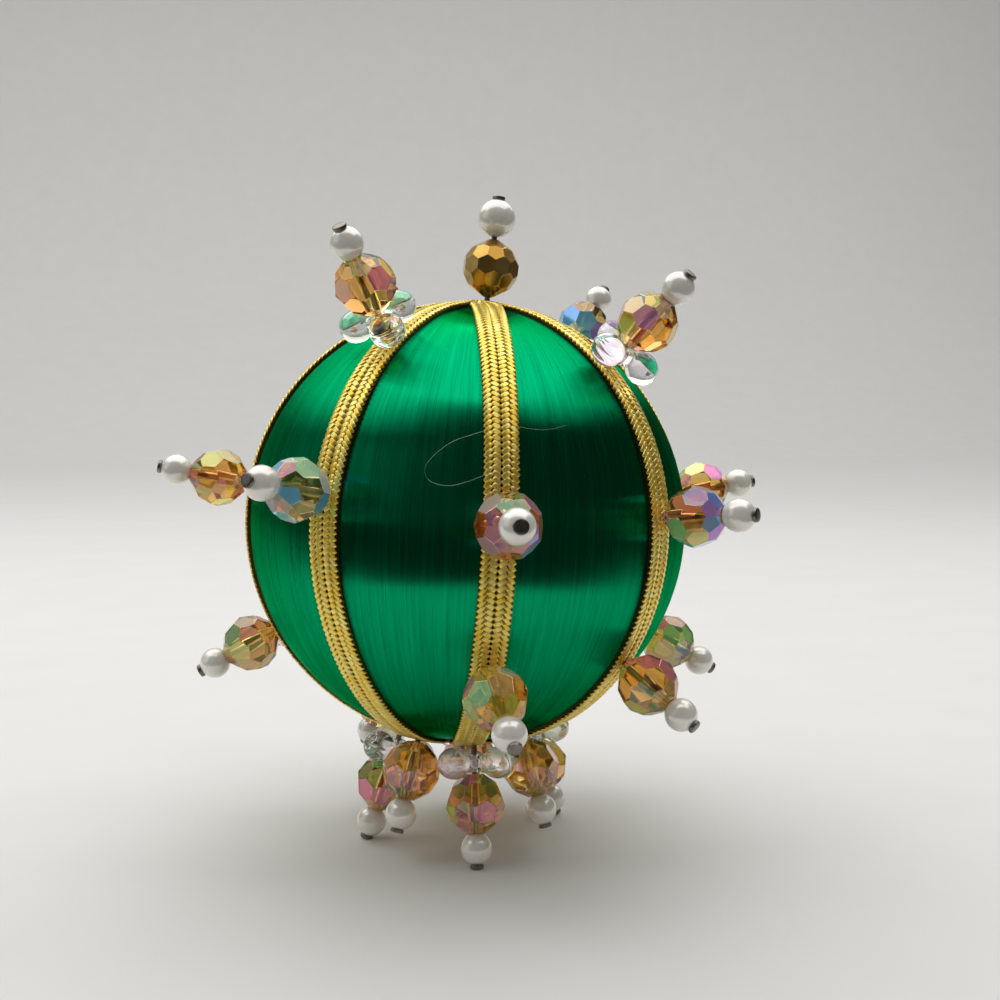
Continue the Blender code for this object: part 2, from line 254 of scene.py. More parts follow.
# Matt white card has no gloss and only a trace of mottle.
floor = link("paper_sweep", sweep_mesh())
card = mottled_material("matt white card", 40.0, 3.0, "#DAD9D7", "#E0DFDD", {"Roughness": 0.7})
floor.data.materials.append(card)
print("paper sweep faces:", len(floor.data.polygons))


# %% Lights
def area_light(name, place, aim, size, power, turn=0.0):
    """A soft rectangular light that faces a point, turned in its own plane by some degrees."""
    data = bpy.data.lights.new(name, "AREA")
    data.shape = "RECTANGLE"
    data.size, data.size_y = size
    data.energy = power
    item = link(name, data)
    item.location = place
    facing = (Vector(aim) - Vector(place)).to_track_quat("-Z", "Y").to_matrix()
    item.rotation_euler = (facing @ Matrix.Rotation(math.radians(turn), 3, "Z")).to_euler()
    return item


overhead = (-0.06, 0.10, 0.62)
area_light("overhead_panel", overhead, (-0.06, 0.10, 0.0), (1.2, 0.68), 4.4, turn=-9.0)
area_light("far_panel", (0.0, 1.15, 1.15), (0.0, 1.3, 0.0), (3.4, 1.2), 14.5)
area_light("left_panel", (-1.2, -0.15, 0.5), (0.0, 0.0, 0.05), (0.9, 0.8), 0.9)
print("lights:", len(bpy.data.lights))

# %% The unlit room
world = bpy.data.worlds.new("unlit room")
bpy.context.scene.world = world
world.use_nodes = True
room = world.node_tree
room.nodes.clear()
ray = add_node(room, "ShaderNodeLightPath")
# A ray through a bead counts as a glossy one too, so it is taken off to leave the mirrors alone.
mirrored = add_node(
    room,
    "ShaderNodeMath",
    {0: ray.outputs["Is Glossy Ray"], 1: ray.outputs["Is Transmission Ray"]},
    operation="SUBTRACT",
    use_clamp=True,
)
tone = srgb("#979694")
for seen, colour in (
    (ray.outputs["Is Transmission Ray"], "#ECEAE4"),
    (mirrored, "#3A3937"),
    (ray.outputs["Is Camera Ray"], "#C4C4C4"),
):
    tone = add_node(
        room, "ShaderNodeMix", {"Factor": seen, "A": tone, "B": srgb(colour)}, data_type="RGBA"
    )
glow = add_node(room, "ShaderNodeBackground", {"Color": tone})
add_node(room, "ShaderNodeOutputWorld", {"Surface": glow})
bpy.context.scene.view_settings.view_transform = "Standard"
print("room nodes:", len(room.nodes))

# %% [markdown]
# ## Satin ball
# Rayon floss is thousands of parallel filaments, wound from pole to pole. Each filament is a tiny
# cylinder, so it mirrors a light in a line across itself: together they give bands that run level
# round the ball. An image of satin would not do this. The mesh has a UV map whose U runs round the
# ball, the shader takes its tangent from it, and a high anisotropy stretches the gloss that way.

# %% Satin ball mesh
BALL_SEGMENTS = 288
BALL_RINGS = 90
SEAM_AZIMUTH = 180.0
BUNDLES_AROUND = 72
BUNDLE_RELIEF = 0.006 * MM


def satin_mesh():
    """A ball with its UV seam under the back braid and a faint ripple where floss bundles lie."""
    bm = bmesh.new()
    uv = bm.loops.layers.uv.new("winding")
    rows = []
    draw = random.Random(11)
    ripple = [draw.uniform(-1, 1) for _ in range(BUNDLES_AROUND)]
    for ring in range(1, BALL_RINGS):
        latitude = math.pi * ring / BALL_RINGS - math.pi / 2
        row = []
        for segment in range(BALL_SEGMENTS):
            around = math.radians(SEAM_AZIMUTH) + 2 * math.pi * segment / BALL_SEGMENTS
            place = segment / BALL_SEGMENTS * BUNDLES_AROUND
            low = int(place)
            blend = place - low
            height = ripple[low] * (1 - blend) + ripple[(low + 1) % BUNDLES_AROUND] * blend
            reach = BALL_RADIUS + BUNDLE_RELIEF * height * math.cos(latitude)
            level = reach * math.cos(latitude)
            x, y = level * math.sin(around), -level * math.cos(around)
            row.append(bm.verts.new((x, y, reach * math.sin(latitude))))
        rows.append(row)
    south = bm.verts.new((0, 0, -BALL_RADIUS))
    north = bm.verts.new((0, 0, BALL_RADIUS))

    def lay(corners, places):
        face = bm.faces.new(corners)
        for loop, (across, along) in zip(face.loops, places):
            loop[uv].uv = (across / BALL_SEGMENTS, along / BALL_RINGS)

    for segment in range(BALL_SEGMENTS):
        after = (segment + 1) % BALL_SEGMENTS
        left, right = segment, segment + 1
        lay((south, rows[0][after], rows[0][segment]), ((left + 0.5, 0), (right, 1), (left, 1)))
        for ring in range(BALL_RINGS - 2):
            low, high = rows[ring], rows[ring + 1]
            lay(
                (low[segment], low[after], high[after], high[segment]),
                ((left, ring + 1), (right, ring + 1), (right, ring + 2), (left, ring + 2)),
            )
        lay(
            (north, rows[-1][segment], rows[-1][after]),
            ((left + 0.5, BALL_RINGS), (left, BALL_RINGS - 1), (right, BALL_RINGS - 1)),
        )
    return mesh_from(bm, "satin_winding")


ball = link("satin_winding", satin_mesh())
ball.data.transform(TO_MODEL)
print("satin ball triangles:", triangles(ball.data))

# %% Satin material
# Filaments are about 0.1 mm apart when laid side by side. They are drawn at 0.25 mm, because
# finer ones would blur to a flat green at this size.
FILAMENT_SPACING = 0.25 * MM
ROUND_THE_BALL = 2 * math.pi * BALL_RADIUS
# How many streaks of noise lie round the ball and from pole to pole.
FILAMENT_STREAKS = (ROUND_THE_BALL / FILAMENT_SPACING, 7.0, 1.0)
BUNDLE_STREAKS = (240.0, 2.4, 1.0)
SATIN_RELIEF = 0.04 * MM


def satin_material(name, roughness, dark, bright):
    """Rayon floss: dyed through, so even its gloss is green."""
    made, tree = new_material(name)
    winding = add_node(tree, "ShaderNodeUVMap", uv_map="winding")
    fine = add_node(tree, "ShaderNodeMapping", {"Vector": winding, "Scale": FILAMENT_STREAKS})
    filaments = add_node(tree, "ShaderNodeTexNoise", {"Vector": fine, "Scale": 1.0, "Detail": 2.0})
    coarse = add_node(tree, "ShaderNodeMapping", {"Vector": winding, "Scale": BUNDLE_STREAKS})
    bundles = add_node(tree, "ShaderNodeTexNoise", {"Vector": coarse, "Scale": 1.0, "Detail": 3.0})
    depth = add_node(tree, "ShaderNodeMath", {0: filaments, 1: bundles}, operation="ADD")
    shade = add_node(tree, "ShaderNodeMapRange", {"Value": depth, "From Min": 0.4, "From Max": 1.5})
    dye = add_node(
        tree,
        "ShaderNodeMix",
        {"Factor": shade, "A": srgb(dark), "B": srgb(bright)},
        data_type="RGBA",
    )
    relief = add_node(
        tree, "ShaderNodeBump", {"Height": filaments, "Strength": 0.25, "Distance": SATIN_RELIEF}
    )
    along = add_node(tree, "ShaderNodeTangent", direction_type="UV_MAP", uv_map="winding")
    shader = add_node(
        tree,
        "ShaderNodeBsdfPrincipled",
        {
            "Base Color": dye,
            "Metallic": 1.0,
            "Specular Tint": srgb("#30C890"),
            "Roughness": roughness,
            "Anisotropic": 1.0,
            "Normal": relief,
            "Tangent": along,
        },
    )
    add_node(tree, "ShaderNodeOutputMaterial", {"Surface": shader})
    return made


satin = satin_material("rayon satin floss", 0.31, "#007549", "#04B376")
ball.data.materials.append(satin)
finish_piece(ball, ["satin_ball"])
print("satin nodes:", len(satin.node_tree.nodes))

# %% [markdown]
# ## Gold braid
# The braid is a flat metallic trim about 5 mm wide. Two plaits lie side by side with a groove
# between them, so four columns of short slanting strands show, like arrowheads. A texture would
# stay flat at the ball's outline, so every visible strand is a little raised piece of its own.
# Geometry Nodes lay them along each braid's centre line at an even pitch, over a core coloured dark
# brown: painted shade for the gaps between strands.

# %% Braid sizes and routes
BRAID_STEP = 45.0
BRAID_HALF = 2.4 * MM
BRAID_LIFT = 0.3 * MM
BRAID_THICKNESS = 0.5 * MM
BRAID_PILE = 0.9 * MM
POLE_HOLE_ANGLE = 2.1
PILE_ANGLE = 9.0
STRAIGHT_ANGLES = (12.0, 30.0)
WANDER_ANGLES = (80.0, 140.0)
WANDERS = {1: (-1.0, -1.4), 2: (-0.7, -0.7), 7: (-1.3, -4.4), 8: (2.2, 5.0)}
ROUTE_STEPS = 120


def smoothstep(low, high, value):
    part = min(1.0, max(0.0, (value - low) / (high - low)))
    return part * part * (3.0 - 2.0 * part)


def braid_route(number):
    """The braid's frame, half width and thickness, step by step from the top pole to the bottom."""
    above, below = WANDERS.get(number, (0.0, 0.0))
    route = []
    for step in range(ROUTE_STEPS + 1):
        polar = POLE_HOLE_ANGLE + (180.0 - 2 * POLE_HOLE_ANGLE) * step / ROUTE_STEPS
        to_pole = min(polar, 180.0 - polar)
        wander = above + (below - above) * smoothstep(*WANDER_ANGLES, polar)
        wander *= smoothstep(*STRAIGHT_ANGLES, to_pole)
        half_step = math.tan(math.radians(BRAID_STEP / 2))
        share = BALL_RADIUS * math.sin(math.radians(to_pole)) * half_step
        half = min(BRAID_HALF, share - BRAID_LIFT / 2)
        piled = smoothstep(PILE_ANGLE, POLE_HOLE_ANGLE, to_pole)
        thickness = BRAID_THICKNESS + (BRAID_PILE - BRAID_THICKNESS) * piled
        azimuth = (number - 1) * BRAID_STEP + wander
        route.append((frame_on_ball(azimuth, 90.0 - polar, 0.0).to_3x3(), half, thickness))
    return route


middle_half = braid_route(1)[ROUTE_STEPS // 2][1]
print("braid width at the equator, mm:", round(2 * middle_half / MM, 1))

# %% Braid core and centre line
CORE_SECTION = [(-0.92, -0.9), (-0.92, 0.2), (-0.48, 0.62), (0.0, 0.1)]
CORE_SECTION += [(0.48, 0.62), (0.92, 0.2), (0.92, -0.9)]
CORE_SINK = 0.26 * MM


def core_mesh(number):
    """The body of the braid, which shows only in the gaps between strands, where its material
    paints it dark brown as shade.
    """
    bm = bmesh.new()
    rings = []
    for place, half, thickness in braid_route(number):
        ring = []
        for across, height in CORE_SECTION:
            bend = across * half / BALL_RADIUS
            outward = place @ Vector((math.sin(bend), 0.0, math.cos(bend)))
            lift = height * thickness if height > 0 else -CORE_SINK
            ring.append(bm.verts.new(outward * (BALL_RADIUS + BRAID_LIFT + lift)))
        rings.append(ring)
    close_tube(bm, rings)
    return mesh_from(bm, f"braid_core_{number}", smooth=False)


def centre_line(number):
    """A line of points along the braid, each knowing its outward and sideways directions."""
    route = braid_route(number)
    height = BALL_RADIUS + BRAID_LIFT
    points = [place @ Vector((0, 0, height + 0.62 * thickness)) for place, _, thickness in route]
    mesh = bpy.data.meshes.new(f"braid_line_{number}")
    mesh.from_pydata(points, [(index, index + 1) for index in range(ROUTE_STEPS)], [])
    for title, kind in (("outward", "FLOAT_VECTOR"), ("side", "FLOAT_VECTOR"), ("half", "FLOAT")):
        mesh.attributes.new(title, kind, "POINT")
    for index, (place, half, _) in enumerate(route):
        mesh.attributes["outward"].data[index].vector = place @ Vector((0, 0, 1))
        mesh.attributes["side"].data[index].vector = place @ Vector((1, 0, 0))
        mesh.attributes["half"].data[index].value = half
    return mesh


# %% One strand of the plait
STRAND_RINGS = 7
STRAND_DIP = 0.7
# Half of a strand's section: across in parts of its width, and up in parts of its crown.
STRAND_SECTION = [(0.39, 0.74), (0.47, 0.5), (0.5, -0.4)]
STRAND_SHARP = math.radians(50)


def strand_mesh():
    """A flat strand, one unit long and wide, with a crown and with both ends dipping under."""
    bm = bmesh.new()
    section = [(-across, height) for across, height in STRAND_SECTION[::-1]] + STRAND_SECTION
    rings = []
    for ring in range(STRAND_RINGS):
        along = 2 * ring / (STRAND_RINGS - 1) - 1
        dip = -STRAND_DIP * along**4
        narrow = 1.0 - 0.1 * along * along
        places = [(along / 2, across * narrow, height + dip) for across, height in section]
        rings.append([bm.verts.new(place) for place in places])
    close_tube(bm, rings)
    mesh = mesh_from(bm, "strand")
    mesh.set_sharp_from_angle(angle=STRAND_SHARP)
    thread = mesh.attributes.new("thread", "FLOAT", "POINT")
    for vertex in mesh.vertices:
        thread.data[vertex.index].value = vertex.co.y
    return mesh


strand = link("strand", strand_mesh())
print("triangles in one strand:", triangles(strand.data))

# %% [markdown]
# The tree below resamples the centre line to the plait's pitch, moves a copy of the points to each
# of the four columns, and puts a strand on every point, turned to its column's slant. Real plaits
# interlace, and here the ends of neighbouring strands dip into each other, which looks the same.

# %% The plait's columns and inputs
# Columns: place across the half width, slant in degrees, part of a pitch further on, tilt, and
# the length and width of a strand in millimetres.
COLUMNS = [
    (-0.69, 51.0, 0.0, -0.1, 1.4, 0.6),
    (-0.25, -35.0, 0.5, 0.1, 1.25, 0.73),
    (0.25, 35.0, 0.5, -0.1, 1.25, 0.73),
    (0.69, -51.0, 0.0, 0.1, 1.4, 0.6),
]
WOBBLE = math.radians(3)
PLAIT_PITCH = 0.78 * MM
STRAND_CROWN = 0.17 * MM
PLAIT_INPUTS = [
    ("Centre line", "NodeSocketGeometry"),
    ("Core", "NodeSocketObject"),
    ("Strand", "NodeSocketObject"),
    ("Pitch", "NodeSocketFloat"),
    ("Strand crown", "NodeSocketFloat"),
    ("Full half width", "NodeSocketFloat"),
    ("Seed", "NodeSocketInt"),
    ("Finish", "NodeSocketMaterial"),
]


# %% How every tree starts and ends
def new_tree(name, inputs):
    """An empty Geometry Nodes tree with named inputs, and its input node."""
    tree = bpy.data.node_groups.new(name, "GeometryNodeTree")
    for title, kind in inputs:
        tree.interface.new_socket(title, in_out="INPUT", socket_type=kind)
    tree.interface.new_socket("Geometry", in_out="OUTPUT", socket_type="NodeSocketGeometry")
    return tree, add_node(tree, "NodeGroupInput").outputs


def end_tree(tree, geometry, finish):
    """The end of every tree: real meshes instead of instances, with their material."""
    real = add_node(tree, "GeometryNodeRealizeInstances", {"Geometry": geometry})
    finished = add_node(tree, "GeometryNodeSetMaterial", {"Geometry": real, "Material": finish})
    add_node(tree, "NodeGroupOutput", {"Geometry": finished})
    return tree


# %% Geometry Nodes tree for the plait
def plait_tree():
    """Four columns of slanting strands along a centre line, and the core under them."""
    tree, given = new_tree("plaited braid", PLAIT_INPUTS)
    line = add_node(tree, "GeometryNodeMeshToCurve", {"Mesh": given["Centre line"]})
    spaced = add_node(
        tree, "GeometryNodeResampleCurve", {"Curve": line, "Length": given["Pitch"]}, mode="LENGTH"
    )
    known = {}
    for title, kind in (("outward", "FLOAT_VECTOR"), ("side", "FLOAT_VECTOR"), ("half", "FLOAT")):
        known[title] = add_node(
            tree, "GeometryNodeInputNamedAttribute", {"Name": title}, data_type=kind
        )
    outward, side, half = known.values()
    tangent = add_node(tree, "GeometryNodeInputTangent")
    strand = add_node(tree, "GeometryNodeObjectInfo", {"Object": given["Strand"]})
    core = add_node(tree, "GeometryNodeObjectInfo", {"Object": given["Core"]})
    squeeze = add_node(
        tree, "ShaderNodeMath", {0: half, 1: given["Full half width"]}, operation="DIVIDE"
    )
    columns = []
    for number, (across, slant, phase, tilt, long, wide) in enumerate(COLUMNS):
        length, reach, ahead = (
            add_node(tree, "ShaderNodeMath", {0: base, 1: times}, operation="MULTIPLY")
            for base, times in ((squeeze, long * MM), (half, across), (given["Pitch"], phase))
        )
        size = add_node(
            tree, "ShaderNodeCombineXYZ", {"X": length, "Y": wide * MM, "Z": given["Strand crown"]}
        )
        aside, shift, lean = (
            add_node(tree, "ShaderNodeVectorMath", {0: way, "Scale": scale}, operation="SCALE")
            for way, scale in ((side, reach), (tangent, ahead), (side, tilt))
        )
        offset = add_node(tree, "ShaderNodeVectorMath", {0: aside, 1: shift}, operation="ADD")
        moved = add_node(tree, "GeometryNodeSetPosition", {"Geometry": spaced, "Offset": offset})
        facing = add_node(tree, "ShaderNodeVectorMath", {0: outward, 1: lean}, operation="ADD")
        upright = add_node(
            tree,
            "FunctionNodeAxesToRotation",
            {"Primary Axis": facing, "Secondary Axis": side},
            primary_axis="Z",
            secondary_axis="X",
        )
        turn = math.radians(slant)
        uneven = add_node(
            tree,
            "FunctionNodeRandomValue",
            {"Min": (-WOBBLE, -WOBBLE, turn), "Max": (WOBBLE, WOBBLE, turn), "Seed": number},
            data_type="FLOAT_VECTOR",
        )
        slanted = add_node(
            tree,
            "FunctionNodeRotateRotation",
            {"Rotation": upright, "Rotate By": uneven},
            rotation_space="LOCAL",
        )
        laid = add_node(
            tree,
            "GeometryNodeInstanceOnPoints",
            {
                "Points": moved,
                "Instance": strand.outputs["Geometry"],
                "Rotation": slanted,
                "Scale": size,
            },
        )
        columns.append(laid)
    strands = add_node(tree, "GeometryNodeJoinGeometry", {"Geometry": columns})
    chance = add_node(tree, "FunctionNodeRandomValue", {"Seed": given["Seed"]}, data_type="FLOAT")
    # The strand attribute marks the strands; where it is missing, on the core, the material paints
    # shade.
    for title, value in (("glint", chance), ("strand", 1.0)):
        strands = add_node(
            tree,
            "GeometryNodeStoreNamedAttribute",
            {"Geometry": strands, "Name": title, "Value": value},
            data_type="FLOAT",
            domain="INSTANCE",
        )
    both = [core.outputs["Geometry"], strands]
    whole = add_node(tree, "GeometryNodeJoinGeometry", {"Geometry": both})
    return end_tree(tree, whole, given["Finish"])


plait = plait_tree()
print("nodes in the plait tree:", len(plait.nodes))


# %% Run a tree
def baked(item, tree, values, name):
    """Run a tree on an object, then return the result as a plain mesh and remove the object."""
    modifier = item.modifiers.new(tree.name, "NODES")
    modifier.node_group = tree
    entries = tree.interface.items_tree
    sockets = {entry.name: entry.identifier for entry in entries if entry.in_out == "INPUT"}
    for title, value in values.items():
        modifier[sockets[title]] = value
    item.update_tag()
    graph = bpy.context.evaluated_depsgraph_get()
    mesh = bpy.data.meshes.new_from_object(item.evaluated_get(graph))
    mesh.name = name
    item.modifiers.remove(modifier)
    bpy.data.objects.remove(item, do_unlink=True)
    return mesh


# %% Braid material
THREADS_ACROSS = 30.0
THREAD_RELIEF = 0.02 * MM


def braid_material():
    """Metallised film over a yellow core: a pale gold mirror on each strand, and dark brown painted
    shade in the gaps.
    """
    made, tree = new_material("metallic gold braid")
    glint, strand, thread = (
        add_node(tree, "ShaderNodeAttribute", attribute_name=title).outputs["Fac"]
        for title in ("glint", "strand", "thread")
    )
    gold = add_node(
        tree,
        "ShaderNodeMix",
        {"Factor": glint, "A": srgb("#F7D24C"), "B": srgb("#FEEA84")},
        data_type="RGBA",
    )
    # Where there is no strand, the core's dark brown #58440E is painted shade for the gaps between
    # strands.
    tone = add_node(
        tree, "ShaderNodeMix", {"Factor": strand, "A": srgb("#58440E"), "B": gold}, data_type="RGBA"
    )
    rib = add_node(tree, "ShaderNodeMath", {0: thread, 1: THREADS_ACROSS}, operation="MULTIPLY")
    wave = add_node(tree, "ShaderNodeMath", {0: rib}, operation="SINE")
    relief = add_node(
        tree, "ShaderNodeBump", {"Height": wave, "Strength": 0.3, "Distance": THREAD_RELIEF}
    )
    shader = add_node(
        tree,
        "ShaderNodeBsdfPrincipled",
        {"Base Color": tone, "Metallic": 0.76, "Roughness": 0.3, "Normal": relief},
    )
    add_node(tree, "ShaderNodeOutputMaterial", {"Surface": shader})
    return made


gold_braid = braid_material()
print("braid material nodes:", len(gold_braid.node_tree.nodes))

# %% Lay the eight braids
for number in range(1, 9):
    core = link(f"braid_core_{number}", core_mesh(number))
    values = {
        "Core": core,
        "Strand": strand,
        "Pitch": PLAIT_PITCH,
        "Strand crown": STRAND_CROWN,
        "Full half width": BRAID_HALF,
        "Seed": number,
        "Finish": gold_braid,
    }
    mesh = baked(link(f"line_{number}", centre_line(number)), plait, values, f"gold_braid_{number}")
    bpy.data.objects.remove(core, do_unlink=True)
    mesh.transform(TO_MODEL)
    finish_piece(link(f"gold_braid_{number}", mesh), [f"braid_{number}"])
    if number == 1:
        print("triangles in one braid:", triangles(mesh))
bpy.data.objects.remove(strand, do_unlink=True)

# %% [markdown]
# ## Floss filaments
# On the real ball single filaments catch the light as hairlines along the winding. They are laid
# by Geometry Nodes: points scattered on a plain ball, a short line on each that points to the
# pole, and every line pressed onto the sphere.

# %% Geometry Nodes tree for the filaments
FILAMENT_INPUTS = [
    ("Ball", "NodeSocketGeometry"),
    ("Density", "NodeSocketFloat"),
    ("Length", "NodeSocketFloat"),
    ("Thickness", "NodeSocketFloat"),
    ("Reach", "NodeSocketFloat"),
    ("Seed", "NodeSocketInt"),
    ("Finish", "NodeSocketMaterial"),
]
STRAY_ANGLE = 0.03


def round_tube(tree, curve, thickness, sides):
    """A curve with a round section of a given thickness."""
    radius = add_node(tree, "ShaderNodeMath", {0: thickness, 1: 0.5}, operation="MULTIPLY")
    section = add_node(
        tree, "GeometryNodeCurvePrimitiveCircle", {"Resolution": sides, "Radius": radius}
    )
    return add_node(
        tree,
        "GeometryNodeCurveToMesh",
        {"Curve": curve, "Profile Curve": section, "Fill Caps": True},
    )


def filament_tree():
    """Short lines that point to the pole, scattered on a ball and pressed onto a sphere."""
    tree, given = new_tree("floss filaments", FILAMENT_INPUTS)
    spots = add_node(
        tree,
        "GeometryNodeDistributePointsOnFaces",
        {"Mesh": given["Ball"], "Density": given["Density"], "Seed": given["Seed"]},
    )
    place = add_node(tree, "GeometryNodeInputPosition")
    upright = add_node(
        tree,
        "FunctionNodeAxesToRotation",
        {"Primary Axis": place, "Secondary Axis": (0.0, 0.0, 1.0)},
        primary_axis="Z",
        secondary_axis="Y",
    )
    stray = add_node(
        tree,
        "FunctionNodeRandomValue",
        {"Min": (0.0, 0.0, -STRAY_ANGLE), "Max": (0.0, 0.0, STRAY_ANGLE), "Seed": given["Seed"]},
        data_type="FLOAT_VECTOR",
    )
    turned = add_node(
        tree,
        "FunctionNodeRotateRotation",
        {"Rotation": upright, "Rotate By": stray},
        rotation_space="LOCAL",
    )
    length = add_node(
        tree,
        "FunctionNodeRandomValue",
        {"Min": (1.0, 0.25, 1.0), "Max": (1.0, 1.0, 1.0), "Seed": 7},
        data_type="FLOAT_VECTOR",
    )
    half = add_node(tree, "ShaderNodeMath", {0: given["Length"], 1: 0.5}, operation="MULTIPLY")
    start = add_node(tree, "ShaderNodeMath", {0: given["Length"], 1: -0.5}, operation="MULTIPLY")
    head = add_node(tree, "ShaderNodeCombineXYZ", {"Y": half})
    tail = add_node(tree, "ShaderNodeCombineXYZ", {"Y": start})
    line = add_node(tree, "GeometryNodeCurvePrimitiveLine", {"Start": tail, "End": head})
    bent = add_node(tree, "GeometryNodeResampleCurve", {"Curve": line, "Count": 8})
    laid = add_node(
        tree,
        "GeometryNodeInstanceOnPoints",
        {"Points": spots, "Instance": bent, "Rotation": turned, "Scale": length},
    )
    real = add_node(tree, "GeometryNodeRealizeInstances", {"Geometry": laid})
    outward = add_node(tree, "ShaderNodeVectorMath", {0: place}, operation="NORMALIZE")
    onto = add_node(
        tree, "ShaderNodeVectorMath", {0: outward, "Scale": given["Reach"]}, operation="SCALE"
    )
    pressed = add_node(tree, "GeometryNodeSetPosition", {"Geometry": real, "Position": onto})
    tubes = round_tube(tree, pressed, given["Thickness"], 3)
    return end_tree(tree, tubes, given["Finish"])


winding_tree = filament_tree()
print("nodes in the filament tree:", len(winding_tree.nodes))

# %% Lay the filaments
FILAMENT_COUNT = 900
FILAMENT_LENGTH = 15 * MM
FILAMENT_THICKNESS = 0.035 * MM
FILAMENT_LIFT = 0.01 * MM
BALL_AREA = 4 * math.pi * BALL_RADIUS**2


def filament_material(name, dark, light, gleam):
    """A single rayon filament: clear dyed fibre with a hard glint."""
    shine = {"Metallic": 1.0, "Specular Tint": srgb(gleam), "Roughness": 0.35}
    return mottled_material(name, 900.0, 1.0, dark, light, shine)


bm = bmesh.new()
bmesh.ops.create_icosphere(bm, subdivisions=4, radius=BALL_RADIUS)
plain_ball = mesh_from(bm, "plain_ball", smooth=False)
values = {
    "Density": FILAMENT_COUNT / BALL_AREA,
    "Length": FILAMENT_LENGTH,
    "Thickness": FILAMENT_THICKNESS,
    "Reach": BALL_RADIUS + FILAMENT_LIFT,
    "Seed": 3,
    "Finish": filament_material("rayon filament", "#00965C", "#22D08C", "#50D8A0"),
}
mesh = baked(link("plain_ball", plain_ball), winding_tree, values, "floss_filaments")
mesh.transform(TO_MODEL)
filaments = link("floss_filaments", mesh)
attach(filaments, "root")
print("filament triangles:", triangles(mesh))

# %% [markdown]
# Two filaments have come loose beside the front braid. Their ends are still caught under it, and
# between them they stand a little off the winding. Each follows a smooth curve through a few
# places on the ball, and a small Geometry Nodes tree gives the curve its thickness.

# %% Loose filaments
LOOSE_INPUTS = [
    ("Line", "NodeSocketGeometry"),
    ("Thickness", "NodeSocketFloat"),
    ("Steps", "NodeSocketInt"),
    ("Finish", "NodeSocketMaterial"),
]
# Places on the ball in degrees, and the height over the winding in millimetres.
LOOP = [(-3.8, 26.1, 0.2), (-5.5, 25.2, 0.4), (-8.6, 23.8, 0.7), (-11.8, 22.5, 0.8)]
LOOP += [(-14.4, 20.7, 0.9), (-16.7, 18.5, 0.9), (-18.1, 16.4, 0.9), (-18.2, 14.7, 0.8)]
LOOP += [(-17.2, 13.2, 0.7), (-14.9, 12.4, 0.6), (-12.4, 12.3, 0.6), (-10.3, 12.8, 0.6)]
LOOP += [(-7.9, 13.7, 0.5), (-5.2, 14.9, 0.4), (-3.4, 15.9, 0.2)]
STRAY = [(0.8, 27.1, 0.2), (3.4, 26.6, 0.5), (6.1, 26.1, 0.7)]
STRAY += [(9.7, 26.0, 0.7), (13.3, 26.8, 0.4), (16.8, 28.1, 0.1)]


def loose_tree():
    """A smooth round hair through the points of a line."""
    tree, given = new_tree("loose filament", LOOSE_INPUTS)
    line = add_node(tree, "GeometryNodeMeshToCurve", {"Mesh": given["Line"]})
    smooth = add_node(
        tree, "GeometryNodeCurveSplineType", {"Curve": line}, spline_type="CATMULL_ROM"
    )
    even = add_node(tree, "GeometryNodeResampleCurve", {"Curve": smooth, "Count": given["Steps"]})
    return end_tree(tree, round_tube(tree, even, given["Thickness"], 6), given["Finish"])


loose = loose_tree()
# The loose filaments are coloured nearly white: a painted glint where the green fibre catches the
# light.
loose_glint_finish = filament_material("loose rayon filament with painted glint", "#A8C8B4", "#E6F4EA", "#F4FFF8")
for name, rows, thickness in (("loose_loop", LOOP, 0.045), ("loose_end", STRAY, 0.025)):
    points = [
        frame_on_ball(azimuth, latitude, BALL_RADIUS + lift * MM).translation
        for azimuth, latitude, lift in rows
    ]
    line = bpy.data.meshes.new(name)
    line.from_pydata(points, [(index, index + 1) for index in range(len(points) - 1)], [])
    values = {"Thickness": thickness * MM, "Steps": 60, "Finish": loose_glint_finish}
    mesh = baked(link(f"{name}_line", line), loose, values, name)
    mesh.transform(TO_MODEL)
    piece = link(name, mesh)
    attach(piece, "root")
print("loose filaments: 2")

# %% [markdown]
# ## Cut beads
# Each bead is a ball of amber acrylic with flat facets in four rows. The easiest true way is
# to start with a block and cut it with one plane after another. Each cut is numbered, so that
# every facet can have its own tint, and the edges are softened a little, as moulding leaves them.
# A Boolean drills the bore, so that the pin shows through it.

# %% Sizes and planes of a cut bead
BEAD_WIDTH = 8.2 * MM
BEAD_LENGTH = 8.0 * MM
BORE_RADIUS = 0.6 * MM
BORE_SIDES = 20
FACETS_AROUND = 8
GIRDLE_TILT = 20
GIRDLE_REACH = math.cos(math.radians(GIRDLE_TILT)) * math.cos(math.pi / FACETS_AROUND / 2)
CAP_TILT = 52
CAP_REACH = 0.955
# Rows of facets: tilt in degrees, start as a part of one facet, and reach.
FACET_ROWS = [(GIRDLE_TILT, 0.0, GIRDLE_REACH), (-GIRDLE_TILT, 0.5, GIRDLE_REACH)]
FACET_ROWS += [(CAP_TILT, 0.5, CAP_REACH), (-CAP_TILT, 0.0, CAP_REACH)]
EDGE_SOFTNESS = 0.07 * MM
TINY = 1e-7


def facet_planes(width, length, rows, count):
    """The two ends of a cut bead, then its facets: a normal and a distance for each."""
    planes = [(Vector((0, 0, 1)), length / 2), (Vector((0, 0, -1)), length / 2)]
    for tilt, phase, reach in rows:
        for index in range(count):
            around = 2 * math.pi * (index + phase) / count
            slope = math.radians(tilt)
            level = math.cos(slope)
            normal = (level * math.cos(around), level * math.sin(around), math.sin(slope))
            planes.append((Vector(normal), reach * width / 2))
    return planes


bead_planes = facet_planes(BEAD_WIDTH, BEAD_LENGTH, FACET_ROWS, FACETS_AROUND)
print("planes that cut a bead:", len(bead_planes))


